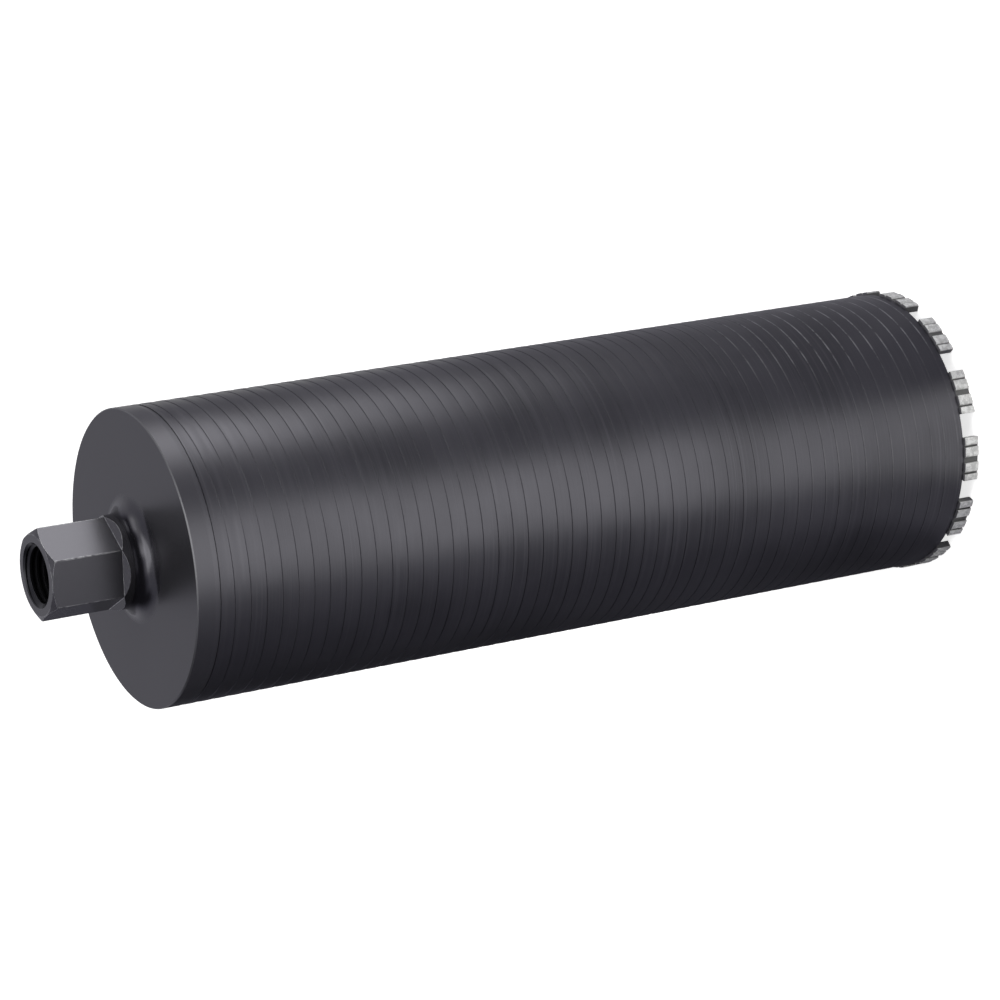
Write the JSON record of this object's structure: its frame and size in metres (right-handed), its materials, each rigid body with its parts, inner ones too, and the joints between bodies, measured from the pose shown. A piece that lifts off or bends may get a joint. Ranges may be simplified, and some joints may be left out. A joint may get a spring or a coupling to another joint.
{
  "type": "diamond core bit",
  "caption": "Wet core bit for drilling round holes in concrete: a closed steel barrel with a threaded hexagonal hub and grooved diamond segments round its open rim.",
  "frame": {"origin": "centre of the crown plane, on the barrel's axis", "axes": "+Z along the barrel's axis, from the crown to the hub's end; +X towards the top of the pictured view and -Y towards the camera"},
  "size_m": [0.152, 0.1518, 0.5066],
  "materials": {
    "barrel_paint": "satin charcoal paint over turned steel",
    "plate_paint": "satin charcoal paint over a faced disc",
    "hub_paint": "satin charcoal paint over milled steel",
    "segment_matrix": "ground sintered metal matrix"
  },
  "bodies": {
    "root": {"barrel": "barrel_paint", "back_plate": "plate_paint", "hub": "hub_paint", "segment_01": "segment_matrix", "segment_02": "segment_matrix", "segment_03": "segment_matrix", "segment_04": "segment_matrix", "segment_05": "segment_matrix", "segment_06": "segment_matrix", "segment_07": "segment_matrix", "segment_08": "segment_matrix", "segment_09": "segment_matrix", "segment_10": "segment_matrix", "segment_11": "segment_matrix", "segment_12": "segment_matrix", "segment_13": "segment_matrix"}
  },
  "joints": []
}
